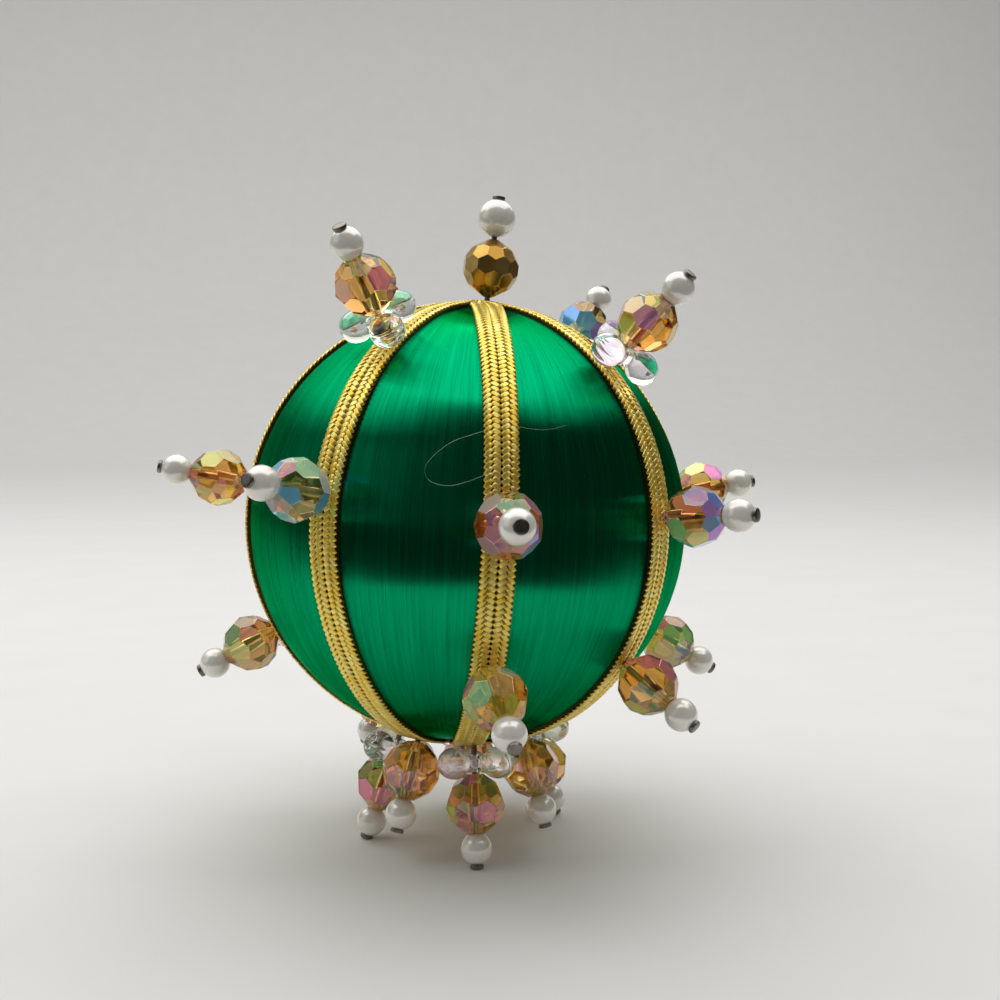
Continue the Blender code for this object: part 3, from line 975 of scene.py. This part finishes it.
# %% Turn on a lathe, cut by a plane
def lathe(profile, sides):
    """A closed bmesh turned round Z from (radius, height) points, from one end to the other."""
    bm = bmesh.new()
    rings = []
    for radius, height in profile:
        if radius == 0:
            rings.append([bm.verts.new((0, 0, height))])
            continue
        angles = [2 * math.pi * side / sides for side in range(sides)]
        circle = [(radius * math.cos(angle), radius * math.sin(angle), height) for angle in angles]
        rings.append([bm.verts.new(place) for place in circle])
    if profile[0][0] != 0:
        rings.append(rings[0])
    for ring, following in zip(rings, rings[1:]):
        for side in range(sides):
            after = (side + 1) % sides
            corners = [ring[side % len(ring)], ring[after % len(ring)]]
            corners += [following[after % len(following)], following[side % len(following)]]
            bm.faces.new(list(dict.fromkeys(corners)))
    bmesh.ops.recalc_face_normals(bm, faces=bm.faces)
    return bm


def cut_flat(bm, point, normal):
    """Take off what lies beyond a plane, and return the faces that close the cut."""
    whole = bm.verts[:] + bm.edges[:] + bm.faces[:]
    cut = bmesh.ops.bisect_plane(
        bm, geom=whole, dist=TINY, plane_co=point, plane_no=normal, clear_outer=True
    )
    rim = [item for item in cut["geom_cut"] if isinstance(item, bmesh.types.BMEdge)]
    return bmesh.ops.edgeloop_fill(bm, edges=rim)["faces"]


# %% Cut bead mesh
def cut_bead(name, width, length, rows=FACET_ROWS, count=FACETS_AROUND):
    """A cut bead round Z, standing on z = 0, with the number of its cut stored on each facet."""
    bm = bmesh.new()
    bmesh.ops.create_cube(bm, size=2 * width)
    cut_number = bm.faces.layers.int.new("cut")
    for number, (normal, reach) in enumerate(facet_planes(width, length, rows, count)):
        for face in cut_flat(bm, normal * reach, normal):
            face[cut_number] = number
    bmesh.ops.bevel(
        bm, geom=bm.edges[:], offset=EDGE_SOFTNESS, segments=2, affect="EDGES", profile=0.5
    )
    bmesh.ops.translate(bm, verts=bm.verts, vec=(0, 0, length / 2))
    bmesh.ops.recalc_face_normals(bm, faces=bm.faces)
    body = link(name, mesh_from(bm, name, smooth=False))
    rod = [(0, -width), (BORE_RADIUS, -width), (BORE_RADIUS, 2 * width), (0, 2 * width)]
    drill = link("drill", mesh_from(lathe(rod, BORE_SIDES), "drill"))
    bore = body.modifiers.new("bore", "BOOLEAN")
    bore.operation = "DIFFERENCE"
    bore.solver = "EXACT"
    bore.object = drill
    graph = bpy.context.evaluated_depsgraph_get()
    mesh = bpy.data.meshes.new_from_object(body.evaluated_get(graph))
    body.modifiers.remove(bore)
    bpy.data.objects.remove(body, do_unlink=True)
    bpy.data.objects.remove(drill, do_unlink=True)
    return mesh


bead_blank = cut_bead("cut_bead", BEAD_WIDTH, BEAD_LENGTH)
print("triangles in one cut bead:", triangles(bead_blank))

# %% [markdown]
# The beads have a vacuum coating, thin as a soap film, that flashes pink, green, blue and gold with
# the light. The shader's thin film does this, and each facet has a film of its own thickness,
# because a real coating is uneven from facet to facet. Each facet also has a tint from a small
# palette: cream on bare facets, and on coated ones pink, green, blue or white tints that are
# painted flashes, the coating's reflections put into the colour.

# %% Bead tints
PLAIN_TINTS = ["#FFFFFF", "#FFF6E2", "#FFEFC8", "#FFE4B0"]
# The flash tints paint the coating's coloured reflections into the facets' colour; the plain tints
# are the acrylic's own.
FLASH_TINTS = ["#F88CC8", "#FAACCC", "#D49CF2", "#A0ECA8"]
FLASH_TINTS += ["#DCF070", "#FFE470", "#FFD890", "#FFF4E0"]
FLASH_SHARE = 0.42
LIGHT_COAT = 0.46
BLUE_FLASHES = ["#7ED4FF", "#A6E2FF", "#B09CFF", "#FFFFFF", "#66C8FF"]
VIVID_FLASHES = ["#8CA8FF", "#9CD0FF", "#C8A0F8", "#F8A8D0", "#B0E8A0"]
VIOLET_FLASHES = ["#F8A8B8", "#B894FA", "#F0B0C0", "#D8DCA0", "#A88CF4", "#C8A08C"]


def tinted(
    blank, name, seed, plain=PLAIN_TINTS, flashes=FLASH_TINTS, share=FLASH_SHARE, coating=LIGHT_COAT
):
    """A copy of a bead whose facets each have a tint, a film thickness and a weight of coating."""
    mesh = blank.copy()
    mesh.name = name
    draw = random.Random(seed)
    count = 1 + max(item.value for item in mesh.attributes["cut"].data)
    coat_of = [coating if draw.random() < share else 0.0 for _ in range(count)]
    tint_of = [srgb(draw.choice(flashes if coated else plain)) for coated in coat_of]
    film_of = [draw.random() for _ in range(count)]
    mesh.attributes.new("tint", "FLOAT_COLOR", "CORNER")
    mesh.attributes.new("film", "FLOAT", "FACE")
    mesh.attributes.new("coat", "FLOAT", "FACE")
    titles = ("tint", "film", "coat", "cut")
    tint, film, coat, cuts = (mesh.attributes[title].data for title in titles)
    for polygon in mesh.polygons:
        number = cuts[polygon.index].value
        film[polygon.index].value = film_of[number]
        coat[polygon.index].value = coat_of[number]
        for corner in polygon.loop_indices:
            tint[corner].color = tint_of[number]
    return mesh


# %% Bead materials
def coated_acrylic(name, mirror, clear, film, depth_colour, density):
    """Coated acrylic: clear inside, with a thin film on the facets and colour in its depth."""
    made, tree = new_material(name)
    tint = add_node(tree, "ShaderNodeAttribute", attribute_name="tint")
    uneven = add_node(tree, "ShaderNodeAttribute", attribute_name="film")
    thickness = add_node(
        tree,
        "ShaderNodeMapRange",
        {"Value": uneven.outputs["Fac"], "To Min": film[0], "To Max": film[1]},
    )
    coat = add_node(tree, "ShaderNodeAttribute", attribute_name="coat")
    shine, clearness = (
        add_node(
            tree,
            "ShaderNodeMapRange",
            {"Value": coat.outputs["Fac"], "To Min": bare, "To Max": coated},
        )
        for bare, coated in (mirror, clear)
    )
    shader = add_node(
        tree,
        "ShaderNodeBsdfPrincipled",
        {
            "Base Color": tint.outputs["Color"],
            "Metallic": shine,
            "Roughness": 0.03,
            "IOR": 1.49,
            "Transmission Weight": clearness,
            "Thin Film Thickness": thickness,
            "Thin Film IOR": 1.85,
        },
    )
    depth = add_node(
        tree, "ShaderNodeVolumeAbsorption", {"Color": srgb(depth_colour), "Density": density}
    )
    add_node(tree, "ShaderNodeOutputMaterial", {"Surface": shader, "Volume": depth})
    return made


amber_acrylic = coated_acrylic(
    "coated amber acrylic", (0.05, 0.3), (1.0, 0.3), (280.0, 620.0), "#F8E070", 245.0
)
clear_acrylic = coated_acrylic(
    "coated clear acrylic", (0.03, 0.15), (1.0, 0.7), (260.0, 560.0), "#F0F6F2", 20.0
)
print("bead materials:", amber_acrylic.name, "and", clear_acrylic.name)

# %% [markdown]
# ## Pearls, pins and tri-beads
# A pearl bead and a pin are turned shapes, so one lathe makes both from a profile. The pearl is
# drilled at both ends and its rim is slightly pressed in. The pin has a flat head with rounded
# edges, and its shank goes on through the bead into the foam.

# %% Pearl and pin profiles
PEARL_RADIUS = 2.2 * MM
CROWN_PEARL_RADIUS = 2.8 * MM
PEARL_BORE = 0.45 * MM
PEARL_DIMPLE = 0.12 * MM
PEARL_STEPS = 20
PEARL_SIDES = 32
PIN_SIDES = 20
HEAD_RADIUS = 0.95 * MM
HEAD_THICKNESS = 0.6 * MM
SHANK_RADIUS = 0.4 * MM
SHANK_BURIED = 6.0 * MM
HEAD_SOFTNESS = 0.14 * MM


def pearl_mesh(radius):
    """A drilled pearl round Z, centred on the origin."""
    profile = []
    start = math.asin(PEARL_BORE / radius)
    for step in range(PEARL_STEPS + 1):
        angle = start + (math.pi - 2 * start) * step / PEARL_STEPS
        profile.append((radius * math.sin(angle), radius * math.cos(angle)))
    inner = PEARL_BORE * 0.85
    end = radius * math.cos(start) - PEARL_DIMPLE
    profile += [(inner, -end), (inner, 0.0), (inner, end)]
    return mesh_from(lathe(profile, PEARL_SIDES), "pearl")


def pin_mesh(head_base, shank_end):
    """A pin along Z: its head above head_base, its shank down to shank_end."""
    soft = HEAD_SOFTNESS
    top = head_base + HEAD_THICKNESS
    profile = [
        (0, top),
        (HEAD_RADIUS * 0.55, top),
        (HEAD_RADIUS - soft, top - 0.03 * MM),
        (HEAD_RADIUS - soft * 0.3, top - soft * 0.6),
        (HEAD_RADIUS, top - soft * 1.4),
        (HEAD_RADIUS, head_base + soft),
        (HEAD_RADIUS - soft, head_base),
        (SHANK_RADIUS, head_base),
        (SHANK_RADIUS, shank_end + 1.2 * MM),
        (0, shank_end),
    ]
    mesh = mesh_from(lathe(profile, PIN_SIDES), "pin")
    mesh.set_sharp_from_angle(angle=math.radians(40))
    return mesh


pearl_blank = pearl_mesh(PEARL_RADIUS)
print("triangles in one pearl:", triangles(pearl_blank))

# %% [markdown]
# A tri-bead is three little balls of clear acrylic moulded round one hole, so from any side it
# looks like a cluster of bubbles. Its surface is worked out on a round grid: at each place the
# height is that of the nearest ball, or of the thinner hub between them.

# %% Shape of a tri-bead
TRI_THICKNESS = 4.4 * MM
TRI_HUB_THICKNESS = 2.4 * MM
TRI_LOBE_RADIUS = 2.4 * MM
TRI_LOBE_OFFSET = 3.6 * MM
TRI_WAIST = 2.3 * MM
TRI_BORE = 0.75 * MM
TRI_SPOKES = 96
TRI_LEVELS = 14
TRI_CREASE = 0.35 * MM


def blended(values, softness):
    """The largest of some values, with the corners between them rounded off."""
    total = sum(math.exp(value / softness) for value in values)
    return softness * math.log(total)


def tri_lobes(angle):
    """A direction's angle from the middle of each of the three balls, the first towards +Y."""
    middles = [math.radians(90 - 120 * lobe) for lobe in range(3)]
    return [(angle - middle + math.pi) % (2 * math.pi) - math.pi for middle in middles]


def tri_reach(angle):
    """How far the tri-bead reaches in a direction."""
    reach = TRI_WAIST
    for off in tri_lobes(angle):
        inside = TRI_LOBE_RADIUS**2 - (TRI_LOBE_OFFSET * math.sin(off)) ** 2
        if inside > 0 and abs(off) < math.pi / 3:
            reach = max(reach, TRI_LOBE_OFFSET * math.cos(off) + math.sqrt(inside))
    return reach


def tri_half_height(angle, reach, rim):
    """Half the tri-bead's thickness at a place."""
    hub = 1 - (reach / TRI_WAIST) ** 4 * 0.6
    heights = [TRI_HUB_THICKNESS / 2 * math.sqrt(max(0.0, hub))]
    for off in tri_lobes(angle):
        gap = math.hypot(reach * math.sin(off), reach * math.cos(off) - TRI_LOBE_OFFSET)
        heights.append(TRI_THICKNESS / 2 * math.sqrt(max(0.0, 1 - (gap / TRI_LOBE_RADIUS) ** 2)))
    fade = min(1.0, (rim - reach) / TRI_CREASE)
    return blended(heights, 0.08 * MM) * math.sqrt(1 - (1 - fade) ** 2)


# %% Tri-bead mesh
def tri_mesh():
    """A closed tri-bead round Z, standing on z = 0, with the nearest ball's number on each face."""
    bm = bmesh.new()
    upper, lower = [], []
    for level in range(TRI_LEVELS + 1):
        out = math.sin(math.pi / 2 * level / TRI_LEVELS)
        rings = ([], [])
        for spoke in range(TRI_SPOKES):
            angle = 2 * math.pi * spoke / TRI_SPOKES
            rim = tri_reach(angle)
            reach = TRI_BORE + (rim - TRI_BORE) * out
            half = tri_half_height(angle, reach, rim)
            for ring, sign in zip(rings, (1, -1)):
                height = TRI_THICKNESS / 2 + sign * half
                place = (reach * math.cos(angle), reach * math.sin(angle), height)
                ring.append(bm.verts.new(place))
        upper.append(rings[0])
        lower.append(rings[1])
    loops = upper + lower[::-1]
    for ring, following in zip(loops, loops[1:] + loops[:1]):
        for spoke in range(TRI_SPOKES):
            after = (spoke + 1) % TRI_SPOKES
            bm.faces.new((ring[spoke], ring[after], following[after], following[spoke]))
    bmesh.ops.remove_doubles(bm, verts=bm.verts, dist=TINY)
    bmesh.ops.recalc_face_normals(bm, faces=bm.faces)
    mesh = mesh_from(bm, "tri_bead")
    mesh.attributes.new("cut", "INT", "FACE")
    for polygon in mesh.polygons:
        around = math.atan2(polygon.center.y, polygon.center.x)
        nearest = min(range(3), key=lambda lobe: abs(tri_lobes(around)[lobe]))
        mesh.attributes["cut"].data[polygon.index].value = nearest
    return mesh


tri_blank = tri_mesh()
print("triangles in one tri-bead:", triangles(tri_blank))


# %% Pearl, pin and gilt materials
def pearl_material():
    """Pearl lacquer over plastic: a white body, a soft metallic sheen and a clear coat."""
    shine = {"Metallic": 0.3, "Roughness": 0.24, "Coat Weight": 0.5, "Coat Roughness": 0.08}
    return mottled_material("pearl lacquer", 420.0, 3.0, "#EDE7DC", "#FBF8F2", shine)


def steel_material():
    """Nickelled pin steel, dulled with age: grey with brownish tarnish."""
    made, tree = new_material("tarnished pin steel")
    place = add_node(tree, "ShaderNodeTexCoord").outputs["Object"]
    stain = add_node(tree, "ShaderNodeTexNoise", {"Vector": place, "Scale": 1500.0, "Detail": 4.0})
    tone = add_node(
        tree,
        "ShaderNodeMix",
        {"Factor": stain, "A": srgb("#5C534A"), "B": srgb("#A9A49C")},
        data_type="RGBA",
    )
    rough = add_node(tree, "ShaderNodeMapRange", {"Value": stain, "To Min": 0.25, "To Max": 0.5})
    shader = add_node(
        tree, "ShaderNodeBsdfPrincipled", {"Base Color": tone, "Metallic": 1.0, "Roughness": rough}
    )
    add_node(tree, "ShaderNodeOutputMaterial", {"Surface": shader})
    return made


def gilt_material():
    """Brass-coloured metal lacquer on the crown's cut bead, uneven and a little worn."""
    made, tree = new_material("gilt metal coating")
    tint = add_node(tree, "ShaderNodeAttribute", attribute_name="tint")
    place = add_node(tree, "ShaderNodeTexCoord").outputs["Object"]
    wear = add_node(tree, "ShaderNodeTexNoise", {"Vector": place, "Scale": 700.0, "Detail": 4.0})
    tone = add_node(
        tree,
        "ShaderNodeMix",
        {"Factor": wear, "A": tint.outputs["Color"], "B": srgb("#A87E3A")},
        data_type="RGBA",
    )
    shader = add_node(
        tree, "ShaderNodeBsdfPrincipled", {"Base Color": tone, "Metallic": 0.9, "Roughness": 0.2}
    )
    add_node(tree, "ShaderNodeOutputMaterial", {"Surface": shader})
    return made


finishes = {
    "amber_bead": amber_acrylic,
    "clear_bead": clear_acrylic,
    "gilt_bead": gilt_material(),
    "pearl": pearl_material(),
    "pin_steel": steel_material(),
}
print("finishes:", ", ".join(finishes))

# %% [markdown]
# ## Pins, one by one
# The tables repeat the places from the CAD model. Each row is a braid's number, how many degrees
# to the side of its meridian the pin stands, its latitude, and the turn of its tri-bead. The
# ornament stands on the four foot pins, whose latitude follows from the lean.

# %% Where the pins stand
EQUATOR = [(1, -0.5, 4.2), (2, 1.1, 6.0), (3, 2.7, 10.0), (4, 0.0, 7.0)]
EQUATOR += [(5, 0.0, 7.0), (6, 0.0, 7.0), (7, -1.3, 8.1), (8, 1.3, 8.4)]
LOWER = [(1, -1.5, -31.2), (2, -0.2, -31.4), (3, 3.0, -28.6), (4, 0.0, -31.0)]
LOWER += [(5, 0.0, -31.0), (6, 0.0, -31.0), (7, -6.0, -31.6)]
UNDER = [(2, 3.6, -69.8), (4, 9.0, -58.0), (6, -13.0, -58.0), (8, 5.0, -70.5)]
UPPER = [(2, 1.2, 46.3, 30), (4, -5.0, 51.0, 20), (6, -5.0, 56.5, 20), (8, 0.6, 51.8, 10)]
FEET = [(1, 4.5, 55), (3, 19.0, -33), (5, -15.0, 20), (7, 3.5, 38)]
LEANS = {"lower_pin_1": 11.0}
# Beads with more painted flashes than the rest: their tints, how many facets have them, and how
# heavy the coat on those is.
PAINTED_FLASHES_OF = {
    "equator_pin_2": (VIVID_FLASHES, 0.5, 0.8),
    "equator_pin_1": (VIOLET_FLASHES, 0.75, 0.8),
    "equator_pin_8": (BLUE_FLASHES, 0.6, 1.0),
    "upper_pin_4": (BLUE_FLASHES, 0.6, 1.0),
}
FOOT_DIP = math.radians(71.5)
SEAT = BALL_RADIUS + 1.1 * MM
POLE_SEAT = BALL_RADIUS + 1.5 * MM
TRI_RISE = (TRI_THICKNESS + TRI_HUB_THICKNESS) / 2 + 0.3 * MM
CAP_RADIUS = 1.4 * MM
THREADED_SINK = 0.15 * MM


def foot_latitude(azimuth):
    """The latitude at which a pin of the leaning ball dips by FOOT_DIP below level."""
    side = -math.sin(LEAN) * math.sin(math.radians(azimuth))
    reach = math.hypot(math.cos(LEAN), side)
    return math.degrees(math.asin(-math.sin(FOOT_DIP) / reach) - math.atan2(side, math.cos(LEAN)))


def leaning(degrees):
    """A pin's own lean to the east, lifted so that its bead's flat end stays clear of the braid."""
    angle = math.radians(degrees)
    lift = CAP_RADIUS * math.sin(abs(angle))
    return Matrix.Translation((0, 0, lift)) @ Matrix.Rotation(angle, 4, "Y")


pins = []
for kind, rows in (("equator", EQUATOR), ("lower", LOWER), ("under", UNDER)):
    for braid, side, latitude in rows:
        place = frame_on_ball((braid - 1) * BRAID_STEP + side, latitude, SEAT)
        place = place @ leaning(LEANS.get(f"{kind}_pin_{braid}", 0.0))
        pins.append((f"{kind}_pin_{braid}", None, place, 0.0))
for braid, side, latitude, turn in UPPER:
    place = frame_on_ball((braid - 1) * BRAID_STEP + side, latitude, SEAT, turn)
    pins.append((f"upper_pin_{braid}", f"upper_tri_{braid}", place, TRI_RISE))
for braid, side, turn in FEET:
    azimuth = (braid - 1) * BRAID_STEP + side
    place = frame_on_ball(azimuth, foot_latitude(azimuth), SEAT, turn)
    pins.append((f"foot_pin_{braid}", f"foot_tri_{braid}", place, TRI_RISE))
print("threaded pins:", len(pins))

# %% Thread them
def lifted(height):
    """A step outwards along a pin."""
    return Matrix.Translation((0, 0, height))


def put(name, mesh, slot, nodes, place):
    """A finished piece from a mesh in its pin's frame, cut flat where it would pass the floor."""
    mesh = mesh.copy()
    mesh.name = name
    mesh.transform(TO_MODEL @ place)
    if min(vertex.co.z for vertex in mesh.vertices) < 0:
        bm = bmesh.new()
        bm.from_mesh(mesh)
        cut_flat(bm, (0, 0, 0), (0, 0, -1))
        bm.to_mesh(mesh)
        bm.free()
    mesh.materials.clear()
    mesh.materials.append(finishes[slot])
    return finish_piece(link(name, mesh), nodes)


for name, tri_name, place, base in pins:
    pearl_base = base + BEAD_LENGTH - THREADED_SINK
    head_base = pearl_base + 2 * PEARL_RADIUS - THREADED_SINK
    flashes, share, coating = PAINTED_FLASHES_OF.get(name, (FLASH_TINTS, FLASH_SHARE, LIGHT_COAT))
    bead = tinted(bead_blank, name, name, PLAIN_TINTS, flashes, share, coating)
    put(f"bead_{name}", bead, "amber_bead", [name], place @ lifted(base))
    middle = place @ lifted(pearl_base + PEARL_RADIUS)
    put(f"pearl_{name}", pearl_blank, "pearl", [name], middle)
    put(f"steel_{name}", pin_mesh(head_base, -SHANK_BURIED), "pin_steel", [name], place)
    if tri_name:
        tri_bead = tinted(tri_blank, tri_name, tri_name, ["#FFFFFF"], ["#F6FFFA", "#FAF4FF"])
        put(f"clear_{tri_name}", tri_bead, "clear_bead", [tri_name], place)
print("beads, pearls, pins and tri-beads:", 3 * len(pins) + len(UPPER) + len(FEET))

# %% [markdown]
# ## Crown and base pin
# The crown is a gilt bead with a finer cut than the others, a larger pearl and a longer pin. At the
# bottom pole a bare pin holds the ends of the braids.

# %% Crown and base pin
CROWN_LENGTH = 8.4 * MM
GILT_TINTS = ["#E8C268", "#D6A64A", "#F2D68C", "#B4863A", "#CFA054"]
CROWN_SHIFT = 1.2 * MM
CROWN_TILT = 4.0
crown_place = frame_on_ball(0.0, 90.0, POLE_SEAT)
crown_place = crown_place @ Matrix.Translation((CROWN_SHIFT, 0, 0)) @ leaning(CROWN_TILT)
GILT_ROWS = [(0, 0.0, 0.955), (30, 0.5, 0.955), (-30, 0.5, 0.955)]
GILT_ROWS += [(58, 0.0, 0.96), (-58, 0.0, 0.96)]
gilt_blank = cut_bead("gilt_bead", BEAD_WIDTH, CROWN_LENGTH, GILT_ROWS, 10)
gilt_bead = tinted(gilt_blank, "gilt_bead", 5, GILT_TINTS, GILT_TINTS)
put("gilt_crown_bead", gilt_bead, "gilt_bead", ["crown_bead"], crown_place)
crown_pearl_base = CROWN_LENGTH + 0.3 * MM
crown_middle = crown_place @ lifted(crown_pearl_base + CROWN_PEARL_RADIUS)
put("crown_pearl", pearl_mesh(CROWN_PEARL_RADIUS), "pearl", ["crown_pin"], crown_middle)
crown_head = crown_pearl_base + 2 * CROWN_PEARL_RADIUS - THREADED_SINK
put("crown_steel", pin_mesh(crown_head, -SHANK_BURIED), "pin_steel", ["crown_pin"], crown_place)
print("crown reaches over the ball by, mm:", round((crown_head + HEAD_THICKNESS) / MM, 1))

BASE_PIN_LENGTH = 8.6 * MM
BASE_PIN_TILT = math.radians(15)
base_place = frame_on_ball(0.0, -90.0, BALL_RADIUS + BRAID_LIFT)
base_place = base_place @ Matrix.Rotation(BASE_PIN_TILT, 4, "Y")
base_head = BASE_PIN_LENGTH - HEAD_THICKNESS / 2
put("base_steel", pin_mesh(base_head, -SHANK_BURIED / 2), "pin_steel", ["base_pin"], base_place)
